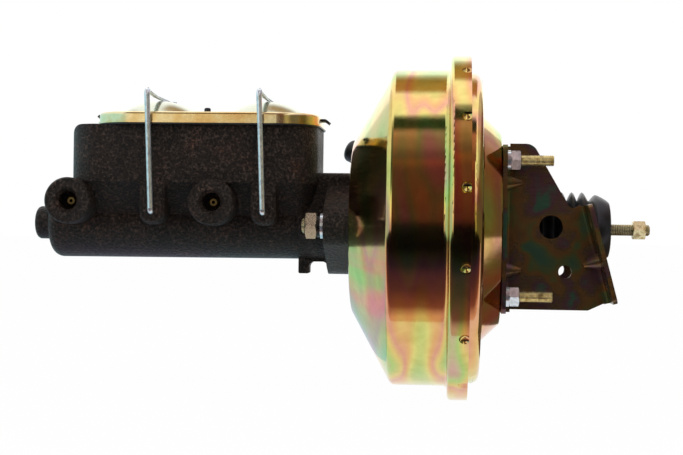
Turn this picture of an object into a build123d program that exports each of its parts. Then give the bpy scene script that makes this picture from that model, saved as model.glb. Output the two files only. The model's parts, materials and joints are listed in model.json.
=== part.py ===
from build123d import *
from math import cos, hypot, radians, sin, sqrt, tan
import os

# Vacuum brake booster with tandem master cylinder and two firewall brackets, in millimetres.
# X runs rearward along the axis, Y across, Z up. The origin is on the axis, where it crosses
# the slanted plane of the firewall flanges.

# Fits and gaps
RUN_GAP = 0.05
SEAL_GAP = 0.08
SEAT_GAP = 0.1
SOFT_GAP = 0.3

# Pressed shells
SHELL_R = 114.3
SHELL_T = 1.6
SHELL_LENGTH = 105.8
BRACKET_REACH = 65.3
FACE_R = 61.5
CONE_DEPTH = 28.9
CONE_BEND = 4.0
FACE_BEND = 6.0
PILOT_R = 19.0
RING_STEP = 10.1
RING_WIDTH = 14.3
RING_INSET = 22.3
RING_FLARE = 4.0
RIM_GAP = 1.0
REAR_STEP = 2.3
REAR_BEND = 5.0
STEP_DEPTH = 14.2
STEP_OUTER_R = 82.5
STEP_INNER_R = 69.0
STEP_BEND = 2.0
COLLAR_R = 25.3
COLLAR_LENGTH = 12.3
COLLAR_BEND = 2.4
LANCE_COUNT = 15
LANCE_R = 4.5
LANCE_STAND = 2.0
LANCE_INSET = 2.7

# Diaphragm and its steel plate
BEAD_T = 4.2
BEAD_STEP = 3.3
RUBBER_T = 1.4
RUBBER_BEND = 3.0
ROLL_STEP = 6.5
PLATE_STEP = 10.9
PLATE_T = 1.6
PLATE_DISH = 4.8
PLATE_RIM = 10.0
PLATE_BEND = 3.0

# Power piston and valve
HUB_SEAT_R = 26.0
HUB_FLANGE_R = 34.0
HUB_LENGTH = 19.0
HUB_SEAT_LENGTH = 6.0
SHANK_R = 17.5
SHANK_END = 24.0
DISC_R = 14.7
DISC_T = 8.0
DISC_POCKET_DEPTH = 11.0
PLUNGER_R = 5.95
VALVE_WALL = 21.0
VALVE_BORE_R = 12.5
VALVE_TRAVEL = 1.5
PLUNGER_COLLAR_R = 8.4
POPPET_BORE_R = 9.0
POPPET_LENGTH = 9.9
POPPET_SPRING_LENGTH = 16.0
FILTER_LENGTH = 13.0

# Push rods
ROD_R = 4.0
ROD_TIP = 42.0
BALL_R = 4.4
BALL_X = 62.0
JAM_NUT_AF = 13.0
JAM_NUT_T = 8.8
JAM_NUT_FREE = 3.3
OUTPUT_ROD_R = 5.0
OUTPUT_HEAD_T = 4.9
OUTPUT_REACH = 20.5

# Coil springs
COIL_TURNS = 6
RETURN_COIL_R = 27.0
RETURN_WIRE_R = 1.7
BORE_WIRE_R = 1.1
POPPET_WIRE_R = 0.6
POPPET_TURNS = 4

# Boot
BOOT_T = 1.3
BOOT_PEAK_R = 26.9
BOOT_VALLEY_R = 19.2
BOOT_PITCH = 7.3
BOOT_PEAKS = 6
BOOT_LAST_PEAK = 6.6
BOOT_CAP_R = 25.0
BOOT_CAP_END_R = 19.6
BOOT_CAP_X = 2.8
BOOT_END_X = 12.4
BOOT_BEND = 0.9
BOOT_LIP_T = 2.5
BOOT_LIP_LENGTH = 4.0

# Studs, nuts and washers
STUD_Y = 42.9
REAR_STUD_Z = 47.3
REAR_STUD_R = 4.0
REAR_STUD_TIP = 30.0
REAR_NUT_AF = 13.0
REAR_NUT_T = 6.9
REAR_WASHER_R = 7.0
REAR_WASHER_T = 2.6
MC_STUD_R = 5.5
MC_STUD_FREE = 2.5
MC_NUT_AF = 18.0
MC_NUT_T = 8.0
MC_LOCK_R = 8.0
MC_LOCK_T = 2.5
MC_WASHER_R = 9.0
MC_WASHER_T = 2.5

# Firewall brackets
SHEET_T = 3.0
BEND_R = 2.7
FIREWALL_TILT = 14.9
BRACKET_INNER_Y = 30.0
FLANGE_Y = 60.0
PLATE_TOP = 59.6
PLATE_BOTTOM = 56.6
PAD_TOP = 57.6
PAD_BOTTOM = 58.6
FLANGE_UP = 18.2
FLANGE_DOWN = 52.0
FIREWALL_HOLE_R = 4.5
FIREWALL_HOLE_SPACING = 44.45
ACCESS_HOLE_R = 8.2
ACCESS_HOLE = (-30.5, 1.35)
SMALL_HOLE_R = 4.6
SMALL_HOLE = (-20.5, -29.9)
DART_R = 6.4
DART_LENGTH = 11.0
DART_HEIGHTS = (32.3, -29.3)
FIREWALL_DART_DOWN = 22.0

# Master cylinder casting
MC_LENGTH = 235.5
NOSE_R = 12.1
NOSE_LENGTH = 12.5
NOSE_CORNER = 3.5
HOUSING_R = 25.0
HOUSING_CORNER = 8.0
CYL_BORE_R = 12.7
CYL_BORE_LENGTH = 215.5
SEAL_POCKET_R = 22.0
SEAL_POCKET_DEPTH = 6.0
MC_FLANGE_T = 18.3
MC_FLANGE_R = 35.0
EAR_T = 17.8
EAR_R = 15.2
TANK_FRONT = 203.2
TANK_REAR = 25.0
TANK_HALF = 44.0
TANK_TOP = 70.5
TANK_WALL = 6.0
TANK_FLOOR = 27.5
TANK_KNEE = 30.0
TANK_SHOULDER = 10.0
TANK_EDGE = 4.0
TANK_CORNER = 24.0
CHAMBER_SPLIT = 114.5
CHAMBER_CORNER = 8.0
SHELF = 19.0
NECK_TOP = 38.3
NECK_HALF = 20.0
NECK_CORNER = 4.0
LUG_X = 35.9
LUG_HALF_Y = 6.0
LUG_ARCH = 4.0
LUG_W = 7.8
LUG_DEPTH = 34.7
PORT_X = (200.3, 97.4)
PORT_Z = 15.7
PORT_BOSS_R = 16.5
PORT_FACE_Y = 50.0
PORT_ROOT_Y = 12.0
PORT_EDGE = 1.2
PORT_THREAD_R = 6.6
PORT_THREAD_LENGTH = 9.0
PORT_RELIEF_R = 7.0
PORT_RELIEF_LENGTH = 3.0
PORT_SINK_R = 9.0
PASSAGE_R = 1.6
SEAT_R = 4.4
SEAT_TIP_R = 2.6
SEAT_RISE = 3.0
SEAT_DEPTH = 4.0
SEAT_BORE_R = 1.2
RIB_HALF = 9.0
RIB_PROUD = 2.2
RIB_TOP = 24.0
RIB_EDGE = 2.0
RIB_BOSS_R = 4.6
RIB_BOSS_PROUD = 0.8
FEED_R = 1.5
FEED_X = (7.0, -20.0)

# Cover, gasket and bails
COVER_FRONT = 184.5
COVER_REAR = 24.4
COVER_OVERHANG = 2.0
COVER_CORNER = 28.0
COVER_T = 1.2
COVER_BASE = 71.6
COVER_TOP = 79.6
COVER_LIP = 0.9
COVER_EDGE = 2.2
DOME_R = 30.0
DOME_HEIGHT = 11.0
DOME_LEAD = 3.8
NUB_X = 109.4
NUB_R = 2.4
NUB_TOP = 86.0
TAB_DROP = 2.6
TAB_HALF = 5.0
TAB_T = 2.0
TAB_REACH = 5.6
CUP_WALL = 2.0
CUP_SINK = 14.0
CUP_CLEAR = 3.0
BAIL_X = (140.5, 61.0)
BAIL_LEAN = 2.3
BAIL_PIVOT_Z = 8.5
BAIL_WIRE_R = 2.0
BAIL_STAND = 3.5
BAIL_CORNER_Z = 95.0
BAIL_MIDDLE_Z = 93.0
BAIL_PIN = 10.0
BAIL_SWEEP_R = 20.0

# Pistons, cups and springs in the bore
RETAINER_X = 8.4
RETAINER_T = 1.2
PRIMARY_LENGTH = 69.5
PRIMARY_GAP = 42.0
SECONDARY_LENGTH = 55.0
CUP_LENGTH = 5.0
CUP_NOSE_R = 7.0
GROOVE_R = 10.0
WAIST_R = 9.5
LAND = 4.5
STOP_SCREW_R = 3.0

# Vacuum inlet on the front cone
INLET_R = 72.0
INLET_ANGLE = 47.3
INLET_HOLE_R = 9.0
GROMMET_R = 12.0
GROMMET_RISE = 3.5
VALVE_STEM_R = 6.9
VALVE_BODY_R = 9.0
VALVE_TOP = 17.0
NIPPLE_RISE = 10.0
NIPPLE_R = 4.8
NIPPLE_ROOT_R = 6.4
NIPPLE_ROOT = 12.0
NIPPLE_LENGTH = 26.0
VALVE_BORE_INNER = 2.5

# Radii and stations along X, worked out from the sizes above
RING_R = SHELL_R + RING_STEP
RIM_R = RING_R - SHELL_T - RIM_GAP
REAR_R = SHELL_R - REAR_STEP
BEAD_INNER_R = SHELL_R + BEAD_STEP
ROLL_R = SHELL_R - ROLL_STEP
PLATE_R = SHELL_R - PLATE_STEP
REAR_X = -BRACKET_REACH
FRONT_X = REAR_X - SHELL_LENGTH
RING_REAR_X = REAR_X - RING_INSET
RING_FRONT_X = RING_REAR_X - RING_WIDTH
BEAD_X = RING_FRONT_X + SHELL_T
RIM_X = BEAD_X + BEAD_T
STEP_X = REAR_X - STEP_DEPTH
CONE_X = FRONT_X + SHELL_T / 2 + CONE_DEPTH
RUBBER_X = STEP_X - SHELL_T - 0.8 - RUBBER_T
PLATE_X = RUBBER_X - SEAT_GAP - PLATE_T
HUB_X = PLATE_X - HUB_LENGTH
DISC_BACK_X = HUB_X + DISC_POCKET_DEPTH
VALVE_FACE_X = DISC_BACK_X + VALVE_WALL
COLLAR_END_X = REAR_X + COLLAR_LENGTH
MC_FRONT_X = FRONT_X - MC_LENGTH
EAR_X = FRONT_X - EAR_T
PRIMARY_X = FRONT_X - RETAINER_X - RETAINER_T - 0.3
PRIMARY_END_X = PRIMARY_X - PRIMARY_LENGTH
SECONDARY_X = PRIMARY_END_X - PRIMARY_GAP
SECONDARY_END_X = SECONDARY_X - SECONDARY_LENGTH
RIB_FACE_Y = TANK_HALF + RIB_PROUD
RIB_BOSS_Y = RIB_FACE_Y + RIB_BOSS_PROUD
COVER_HALF = TANK_HALF + COVER_OVERHANG
BAIL_Y = COVER_HALF + BAIL_STAND
TILT = radians(FIREWALL_TILT)


def turned(*points):
    """Solid turned about X from closed (x, r, corner radius) points."""
    outline = FilletPolyline([(x, r) for x, r, _ in points], radius=[c for _, _, c in points], close=True)
    return revolve(make_face(outline), Axis.X)


def pressed(points, bends, thickness):
    """Sheet turned about X along a line of (x, r) points, with a bend radius at each inner point."""
    return revolve(trace(FilletPolyline(points, radius=bends), line_width=thickness), Axis.X)


def along(x, y, z, direction):
    """Place whose own X axis points in the given direction."""
    plane = Plane(origin=(x, y, z), z_dir=direction)
    return plane.location * Rotation(0, -90, 0)


def rod_between(x0, x1, radius, y=0.0, z=0.0):
    """Round bar along X."""
    return Pos((x0 + x1) / 2, y, z) * Rotation(0, 90, 0) * Cylinder(radius, abs(x1 - x0))


def coil(x0, x1, mean_r, wire_r, turns):
    """Open coil spring about X that fills the length from x0 to x1."""
    free = x1 - x0 - 2 * wire_r
    path = Helix(free / turns, free, mean_r, center=(x0 + wire_r, 0, 0), direction=(1, 0, 0))
    section = Plane(origin=path @ 0, z_dir=path % 0) * Circle(wire_r)
    return sweep(section, path=path, is_frenet=True)


def hex_nut(x, y, z, flats, thickness, bore):
    """Hexagon nut with its rear face at x, chamfered on both faces."""
    corner = flats / sqrt(3)
    cut = corner - flats / 2 * 0.98
    blank = Plane.YZ * extrude(RegularPolygon(flats / 2, 6, major_radius=False), thickness)
    limit = turned(
        (0, bore, 0),
        (0, corner - cut, 0),
        (cut * 0.6, corner + SEAT_GAP, 0),
        (thickness - cut * 0.6, corner + SEAT_GAP, 0),
        (thickness, corner - cut, 0),
        (thickness, bore, 0),
    )
    return Pos(x - thickness, y, z) * (blank & limit)


def ring_about(x0, x1, inner_r, outer_r, y=0.0, z=0.0):
    """Plain washer or collar about a line along X."""
    return rod_between(x0, x1, outer_r, y, z) - rod_between(x0 - 1, x1 + 1, inner_r, y, z)


def cone_frame():
    """Point on the front cone where the vacuum inlet sits, and the cone's outward normal there."""
    run = hypot(CONE_DEPTH, SHELL_R - SHELL_T / 2 - FACE_R)
    lean = (SHELL_R - SHELL_T / 2 - FACE_R) / run
    rise = CONE_DEPTH / run
    up = (cos(radians(INLET_ANGLE)), sin(radians(INLET_ANGLE)))
    middle = FRONT_X + SHELL_T / 2 + (INLET_R - FACE_R) * rise / lean
    normal = Vector(-lean, rise * up[0], rise * up[1])
    point = Vector(middle, INLET_R * up[0], INLET_R * up[1]) + normal * (SHELL_T / 2)
    return point, normal


def front_shell():
    middle = SHELL_T / 2
    shell = pressed(
        [
            (FRONT_X + middle, PILOT_R),
            (FRONT_X + middle, FACE_R),
            (CONE_X, SHELL_R - middle),
            (RING_FRONT_X + middle, SHELL_R - middle),
            (RING_FRONT_X + middle, RING_R - middle),
            (RING_REAR_X, RING_R - middle),
        ],
        [FACE_BEND, CONE_BEND, RING_FLARE, SHELL_T * 1.4],
        SHELL_T,
    )
    # Each lance is a dent pressed into the ring behind the rear shell's rim
    dent_x = RING_REAR_X - LANCE_INSET
    inside = rod_between(RING_FRONT_X, RING_REAR_X, RING_R - middle)
    bumps = []
    dents = []
    for angle in range(LANCE_COUNT):
        turn = Rotation(angle * 360 / LANCE_COUNT - 90, 0, 0)
        place = turn * Pos(dent_x, 0, RING_R + LANCE_STAND)
        bumps.append(place * Sphere(LANCE_R + SHELL_T))
        dents.append(place * Sphere(LANCE_R))
    pressed_in = inside & (Part() + bumps)
    shell = shell + pressed_in - dents
    for side in (-1, 1):
        shell -= rod_between(FRONT_X - 1, FRONT_X + 4, MC_STUD_R + RUN_GAP, side * STUD_Y)
    point, normal = cone_frame()
    hole = Plane(origin=point, z_dir=normal) * Cylinder(INLET_HOLE_R, SHELL_T * 6)
    return shell - hole


def rear_shell():
    middle = SHELL_T / 2
    shell = pressed(
        [
            (RIM_X + middle, RIM_R),
            (RIM_X + middle, REAR_R - middle),
            (STEP_X - middle, REAR_R - middle),
            (STEP_X - middle, STEP_OUTER_R),
            (REAR_X - middle, STEP_INNER_R),
            (REAR_X - middle, COLLAR_R - middle),
            (COLLAR_END_X, COLLAR_R - middle),
        ],
        [SHELL_T, REAR_BEND, REAR_BEND, STEP_BEND, COLLAR_BEND],
        SHELL_T,
    )
    for y in (-STUD_Y, STUD_Y):
        for z in (-REAR_STUD_Z, REAR_STUD_Z):
            shell -= rod_between(REAR_X - 4, REAR_X + 1, REAR_STUD_R + RUN_GAP, y, z)
    return shell


def diaphragm():
    middle = RUBBER_T / 2
    bead_mid = BEAD_X + BEAD_T / 2
    web = pressed(
        [
            (bead_mid, BEAD_INNER_R + 1),
            (bead_mid, ROLL_R),
            (RUBBER_X + middle, ROLL_R),
            (RUBBER_X + middle, HUB_SEAT_R + 2),
        ],
        [RUBBER_BEND, RUBBER_BEND],
        RUBBER_T,
    )
    outer = ring_about(BEAD_X, BEAD_X + BEAD_T, BEAD_INNER_R, RIM_R - 2 * SOFT_GAP)
    inner = ring_about(RUBBER_X, RUBBER_X + BEAD_T, HUB_SEAT_R + SEAT_GAP, HUB_SEAT_R + BEAD_T)
    return web + outer + inner


def diaphragm_plate():
    middle = PLATE_X + PLATE_T / 2
    dish = middle - PLATE_DISH
    return pressed(
        [
            (middle, HUB_SEAT_R + SEAT_GAP),
            (middle, PLATE_R * 0.56),
            (dish, PLATE_R * 0.61),
            (dish, PLATE_R * 0.87),
            (middle, PLATE_R * 0.92),
            (middle, PLATE_R),
            (middle - PLATE_RIM, PLATE_R),
        ],
        [PLATE_BEND] * 5,
        PLATE_T,
    )


def power_piston():
    seat_end = PLATE_X + HUB_SEAT_LENGTH
    return turned(
        (HUB_X, DISC_R + SEAT_GAP, 0),
        (HUB_X, HUB_FLANGE_R, 2),
        (PLATE_X, HUB_FLANGE_R, 0),
        (PLATE_X, HUB_SEAT_R, 0),
        (seat_end, HUB_SEAT_R, 1.5),
        (seat_end, SHANK_R, 2),
        (-SHANK_END, SHANK_R, 1),
        (-SHANK_END, VALVE_BORE_R, 0.5),
        (VALVE_FACE_X, VALVE_BORE_R, 0),
        (VALVE_FACE_X, PLUNGER_R + RUN_GAP, 0),
        (DISC_BACK_X, PLUNGER_R + RUN_GAP, 0),
        (DISC_BACK_X, DISC_R + SEAT_GAP, 0),
    )


def reaction_disc():
    return rod_between(DISC_BACK_X - SEAT_GAP - DISC_T, DISC_BACK_X - SEAT_GAP, DISC_R)


def output_rod():
    head_x = DISC_BACK_X - SEAT_GAP - DISC_T
    tip_x = FRONT_X - OUTPUT_REACH
    return turned(
        (tip_x, 0, 0),
        (tip_x, OUTPUT_ROD_R, 2.5),
        (head_x - OUTPUT_HEAD_T, OUTPUT_ROD_R, 1.5),
        (head_x - OUTPUT_HEAD_T, DISC_R - SEAT_GAP, 1),
        (head_x, DISC_R - SEAT_GAP, 0),
        (head_x, 0, 0),
    )


def valve_plunger():
    nose_x = DISC_BACK_X + VALVE_TRAVEL + SOFT_GAP
    collar_x = VALVE_FACE_X + VALVE_TRAVEL + SOFT_GAP
    body = turned(
        (nose_x, 0, 0),
        (nose_x, PLUNGER_R, 0.5),
        (collar_x, PLUNGER_R, 0),
        (collar_x, PLUNGER_COLLAR_R, 0.5),
        (collar_x + 3, PLUNGER_COLLAR_R, 0.5),
        (collar_x + 3, PLUNGER_COLLAR_R - 1.4, 0.5),
        (-BALL_X + BALL_R - 0.9, PLUNGER_COLLAR_R - 1.4, 1),
        (-BALL_X + BALL_R - 0.9, 0, 0),
    )
    return body - Pos(-BALL_X, 0, 0) * Sphere(BALL_R + SEAT_GAP)


def poppet_valve():
    start = VALVE_FACE_X + SEAT_GAP
    outer = VALVE_BORE_R - SEAT_GAP * 2
    return turned(
        (start, POPPET_BORE_R, 0.4),
        (start, outer, 0.4),
        (start + POPPET_LENGTH, outer, 0.4),
        (start + POPPET_LENGTH, POPPET_BORE_R + 1, 0),
        (start + 3, POPPET_BORE_R + 1, 0),
        (start + 3, POPPET_BORE_R, 0),
    )


def poppet_spring():
    start = VALVE_FACE_X + SEAT_GAP * 2 + POPPET_LENGTH
    return coil(start, start + POPPET_SPRING_LENGTH, VALVE_BORE_R - 2 * POPPET_WIRE_R - SEAT_GAP, POPPET_WIRE_R, POPPET_TURNS)


def spring_retainer():
    start = VALVE_FACE_X + SEAT_GAP * 3 + POPPET_LENGTH + POPPET_SPRING_LENGTH
    return ring_about(start, start + 2, VALVE_BORE_R - 4, VALVE_BORE_R - SEAT_GAP)


def air_filter():
    end = -SHANK_END - 1
    return ring_about(end - FILTER_LENGTH, end, ROD_R + SOFT_GAP, VALVE_BORE_R - SEAT_GAP)


def return_spring():
    return coil(FRONT_X + SHELL_T + SEAT_GAP, HUB_X - SEAT_GAP, RETURN_COIL_R, RETURN_WIRE_R, COIL_TURNS)


def front_seal():
    inner = OUTPUT_ROD_R + SEAL_GAP
    pocket = SEAL_POCKET_R - SOFT_GAP
    back = FRONT_X + SHELL_T + 3
    return turned(
        (FRONT_X - SEAL_POCKET_DEPTH + 0.5, inner, 0),
        (FRONT_X - SEAL_POCKET_DEPTH + 0.5, pocket, 1),
        (FRONT_X - SEAT_GAP, pocket, 0),
        (FRONT_X - SEAT_GAP, PILOT_R - SEAT_GAP, 0),
        (FRONT_X + SHELL_T + SEAT_GAP, PILOT_R - SEAT_GAP, 0),
        (FRONT_X + SHELL_T + SEAT_GAP, pocket, 0),
        (back, pocket - 1, 1),
        (back, inner, 0),
    )


def rear_bearing_seal():
    outer = COLLAR_R - SHELL_T - SEAT_GAP
    inner = SHANK_R + SEAL_GAP
    start = REAR_X + 1
    end = COLLAR_END_X - 0.5
    return turned(
        (start, inner, 0),
        (start, outer, 0.8),
        (end, outer, 0.8),
        (end, inner + 1.5, 0),
        (end - 4, inner, 0),
    )


def boot():
    mouth_r = COLLAR_R + SEAT_GAP + BOOT_T / 2
    points = [(REAR_X + COLLAR_BEND, mouth_r), (COLLAR_END_X + BOOT_T + 0.3, mouth_r)]
    for number in range(BOOT_PEAKS):
        peak_x = -BOOT_LAST_PEAK - (BOOT_PEAKS - 1 - number) * BOOT_PITCH
        points.append((peak_x - BOOT_PITCH / 2, BOOT_VALLEY_R))
        points.append((peak_x, BOOT_PEAK_R))
    points.append((-BOOT_LAST_PEAK + BOOT_PITCH * 0.62, BOOT_VALLEY_R))
    points.append((BOOT_CAP_X, BOOT_CAP_R))
    points.append((BOOT_END_X, BOOT_CAP_END_R))
    points.append((BOOT_END_X, ROD_R + SOFT_GAP))
    bends = [BOOT_BEND] * (len(points) - 2)
    bellows = pressed(points, bends, BOOT_T)
    start = REAR_X + COLLAR_BEND
    inner = COLLAR_R + SEAT_GAP
    lip = ring_about(start, start + BOOT_LIP_LENGTH, inner, inner + BOOT_LIP_T)
    return bellows + lip


def input_rod():
    ball = Pos(-BALL_X, 0, 0) * Sphere(BALL_R)
    neck_end = -BALL_X + 6
    stem = turned(
        (-BALL_X, 0, 0),
        (-BALL_X, ROD_R * 0.6, 0),
        (neck_end, ROD_R * 0.6, 0),
        (neck_end + 1.6, ROD_R, 0),
        (ROD_TIP - 1, ROD_R, 0),
        (ROD_TIP, ROD_R - 1, 0),
        (ROD_TIP, 0, 0),
    )
    return ball + stem


def jam_nut():
    return hex_nut(ROD_TIP - JAM_NUT_FREE, 0, 0, JAM_NUT_AF, JAM_NUT_T, ROD_R + RUN_GAP)


def rear_stud(y, z):
    back = REAR_X - SHELL_T
    head = rod_between(back - 2.5, back, REAR_STUD_R + 1.6, y, z)
    head &= rod_between(back - 3, back + 1, STEP_INNER_R - 2.6)
    shank = rod_between(REAR_X - SHELL_T - 1, -REAR_STUD_TIP, REAR_STUD_R, y, z)
    return chamfer(shank.edges().sort_by(Axis.X)[-1], 0.8) + head


def four_rear(make):
    """One copy of a piece at each of the four rear studs, as separate solids."""
    return Compound([make(y, z) for y in (-STUD_Y, STUD_Y) for z in (-REAR_STUD_Z, REAR_STUD_Z)])


def rear_washer(y, z):
    start = REAR_X + SHEET_T
    return ring_about(start, start + REAR_WASHER_T, REAR_STUD_R + SEAT_GAP, REAR_WASHER_R, y, z)


def rear_nut(y, z):
    end = REAR_X + SHEET_T + REAR_WASHER_T + REAR_NUT_T
    return hex_nut(end, y, z, REAR_NUT_AF, REAR_NUT_T, REAR_STUD_R + RUN_GAP)


def two_front(make):
    """One copy of a piece at each of the two front studs, as separate solids."""
    return Compound([make(y) for y in (-STUD_Y, STUD_Y)])


def mc_stud(y):
    tip_x = EAR_X - MC_WASHER_T - MC_LOCK_T - MC_NUT_T - MC_STUD_FREE
    shank = rod_between(tip_x, FRONT_X + SHELL_T + 1, MC_STUD_R, y)
    head = rod_between(FRONT_X + SHELL_T, FRONT_X + SHELL_T + 3, MC_STUD_R + 3, y)
    return chamfer(shank.edges().sort_by(Axis.X)[0], 1.0) + head


def mc_flat_washer(y):
    return ring_about(EAR_X - MC_WASHER_T, EAR_X, MC_STUD_R + SEAT_GAP, MC_WASHER_R, y)


def mc_lock_washer(y):
    start = EAR_X - MC_WASHER_T - MC_LOCK_T
    ring = ring_about(start, start + MC_LOCK_T, MC_STUD_R + SEAT_GAP, MC_LOCK_R, y)
    split = Pos(start + MC_LOCK_T / 2, y, MC_LOCK_R) * Rotation(0, 30, 0) * Box(1, 8, 8)
    return ring - split


def mc_nut(y):
    end = EAR_X - MC_WASHER_T - MC_LOCK_T
    return hex_nut(end, y, 0, MC_NUT_AF, MC_NUT_T, MC_STUD_R + RUN_GAP)


def bent_flange(face_x, sign, down, up):
    """Flange in the plane x = face_x, bent outward from a short run of the side plate."""
    middle = SHEET_T / 2
    plate_y = -BRACKET_INNER_Y - middle
    flange_x = face_x + sign * middle
    join_x = face_x + sign * (SHEET_T + BEND_R + 1)
    line = FilletPolyline(
        [(join_x, plate_y), (flange_x, plate_y), (flange_x, -FLANGE_Y)], radius=[BEND_R + middle]
    )
    flange = Pos(0, 0, -down) * extrude(trace(line, line_width=SHEET_T), down + up)
    corners = flange.edges().filter_by(Axis.X).group_by(Axis.Y)[0]
    return fillet(corners, 5.0)


def dart(face_x, sign, z):
    """Stiffening dart pressed across the bend, widest at the flange."""
    plate_y = -BRACKET_INNER_Y - SHEET_T
    cone = Cone(DART_R, DART_R * 0.3, DART_LENGTH, align=(Align.CENTER, Align.CENTER, Align.MIN))
    placed = Pos(face_x + sign * SHEET_T, plate_y, z) * Rotation(0, sign * 90, 0) * cone
    outboard = Pos(face_x, plate_y - DART_R / 2 + 0.5, z) * Box(4 * DART_LENGTH, DART_R + 1, 3 * DART_R)
    return placed & outboard


def bracket():
    """Bracket on the -Y side, from the shell's rear face to the slanted firewall plane."""
    edge_x = REAR_X + SHEET_T + BEND_R
    inset = (SHEET_T + BEND_R) / cos(TILT)
    top = (-inset - (FLANGE_UP - 1) * tan(TILT), FLANGE_UP - 1)
    low = (-inset + (FLANGE_DOWN - 1) * tan(TILT), -FLANGE_DOWN + 1)
    outline = FilletPolyline(
        [
            (edge_x, PLATE_TOP),
            (edge_x + 16, PLATE_TOP),
            (top[0] - 6.5, FLANGE_UP - 4.6),
            top,
            low,
            (low[0] - 12, -PLATE_BOTTOM),
            (edge_x, -PLATE_BOTTOM),
        ],
        radius=[0, 9.0, 4.0, 0, 0, 3.0, 0],
        close=True,
    )
    face = Plane.XZ.offset(BRACKET_INNER_Y) * make_face(outline)
    plate = extrude(face, SHEET_T)
    pad = bent_flange(REAR_X, 1, PAD_BOTTOM, PAD_TOP)
    for z in (-REAR_STUD_Z, REAR_STUD_Z):
        pad -= rod_between(REAR_X - 1, REAR_X + SHEET_T + 1, REAR_STUD_R + SOFT_GAP, -STUD_Y, z)
    firewall = bent_flange(0, -1, FLANGE_DOWN, FLANGE_UP)
    middle = (FLANGE_UP - FLANGE_DOWN) / 2
    for z in (-FIREWALL_HOLE_SPACING / 2, FIREWALL_HOLE_SPACING / 2):
        firewall -= rod_between(-SHEET_T - 1, 1, FIREWALL_HOLE_R, -STUD_Y, middle + z)
    firewall += dart(0, -1, -FIREWALL_DART_DOWN)
    firewall = Rotation(0, -FIREWALL_TILT, 0) * firewall
    part = plate + pad + firewall
    for z in DART_HEIGHTS:
        part += dart(REAR_X, 1, z)
    for (x, z), radius in ((ACCESS_HOLE, ACCESS_HOLE_R), (SMALL_HOLE, SMALL_HOLE_R)):
        part -= Pos(x, -BRACKET_INNER_Y, z) * Rotation(90, 0, 0) * Cylinder(radius, 4 * SHEET_T)
    return part


def plan(x0, x1, half, corner):
    """Rounded plan outline, from x0 at the front to x1 at the rear."""
    line = FilletPolyline([(x0, -half), (x1, -half), (x1, half), (x0, half)], radius=corner, close=True)
    return make_face(line)


def bail_rib(x):
    """U-shaped rib on the -Y side of the casting, with a round boss for a bail's pivot hole."""
    low = BAIL_PIVOT_Z - RIB_HALF - 1
    root = -HOUSING_R + 6
    outline = FilletPolyline(
        [(-RIB_HALF, TANK_KNEE), (-RIB_HALF, low + 1), (RIB_HALF, low + 1), (RIB_HALF, TANK_KNEE)],
        radius=RIB_HALF * 0.98,
        close=False,
    )
    face = make_face(outline + Line((RIB_HALF, TANK_KNEE), (-RIB_HALF, TANK_KNEE)))
    slab = extrude(Plane.XZ.offset(RIB_FACE_Y) * face, root + RIB_FACE_Y, dir=(0, 1, 0))
    slab = chamfer(slab.edges().group_by(Axis.Y)[0], RIB_EDGE)
    side = FilletPolyline(
        [
            (-RIB_FACE_Y, low),
            (-RIB_FACE_Y, RIB_TOP - 4),
            (-TANK_HALF, TANK_KNEE),
            (root, TANK_KNEE),
            (root, low),
        ],
        radius=[0, RIB_TOP / 3, 0, 0, 0],
        close=True,
    )
    wedge = Pos(-RIB_HALF, 0, 0) * extrude(Plane.YZ * make_face(side), 2 * RIB_HALF)
    boss = Pos(0, 0, BAIL_PIVOT_Z) * Rotation(90, 0, 0) * Cylinder(
        RIB_BOSS_R, RIB_BOSS_Y, align=(Align.CENTER, Align.CENTER, Align.MIN)
    )
    return Pos(x, 0, 0) * ((slab & wedge) + chamfer(boss.edges().sort_by(Axis.Y)[0], RIB_BOSS_Y - RIB_FACE_Y - 0.2))


def outlet(x):
    """Boss for a brake line on the -Y side, and what is bored out of it."""
    boss = Pos(x, -PORT_ROOT_Y, PORT_Z) * Rotation(90, 0, 0) * Cylinder(
        PORT_BOSS_R, PORT_FACE_Y - PORT_ROOT_Y, align=(Align.CENTER, Align.CENTER, Align.MIN)
    )
    boss = chamfer(boss.edges().sort_by(Axis.Y)[0], PORT_EDGE)
    sink = PORT_SINK_R - PORT_THREAD_R
    thread_end = sink + PORT_THREAD_LENGTH
    floor = thread_end + PORT_RELIEF_LENGTH
    seat_end = floor + SEAT_DEPTH
    hole = turned(
        (-1, 0, 0),
        (-1, PORT_SINK_R, 0),
        (0, PORT_SINK_R, 0),
        (sink, PORT_THREAD_R, 0),
        (thread_end, PORT_THREAD_R, 0),
        (thread_end, PORT_RELIEF_R, 0),
        (floor, PORT_RELIEF_R, 0),
        (floor, SEAT_R + RUN_GAP, 0),
        (seat_end, SEAT_R + RUN_GAP, 0),
        (seat_end, 0, 0),
    )
    hole = Pos(x, -PORT_FACE_Y, PORT_Z) * Rotation(0, 0, 90) * hole
    start = Vector(x, -PORT_FACE_Y + floor + SEAT_DEPTH / 2, PORT_Z)
    end = Vector(x, -CYL_BORE_R * 0.6, CYL_BORE_R * 0.35)
    passage = Plane(origin=(start + end) * 0.5, z_dir=end - start) * Cylinder(PASSAGE_R, (end - start).length)
    return boss, hole + passage


def tube_seat(x):
    floor = PORT_SINK_R - PORT_THREAD_R + PORT_THREAD_LENGTH + PORT_RELIEF_LENGTH
    seat = turned(
        (floor - SEAT_RISE, SEAT_BORE_R, 0),
        (floor - SEAT_RISE, SEAT_TIP_R, 0),
        (floor, SEAT_R, 0),
        (floor + SEAT_DEPTH - SEAT_GAP, SEAT_R, 0),
        (floor + SEAT_DEPTH - SEAT_GAP, SEAT_BORE_R, 0),
    )
    return Pos(x, -PORT_FACE_Y, PORT_Z) * Rotation(0, 0, 90) * seat


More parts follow.
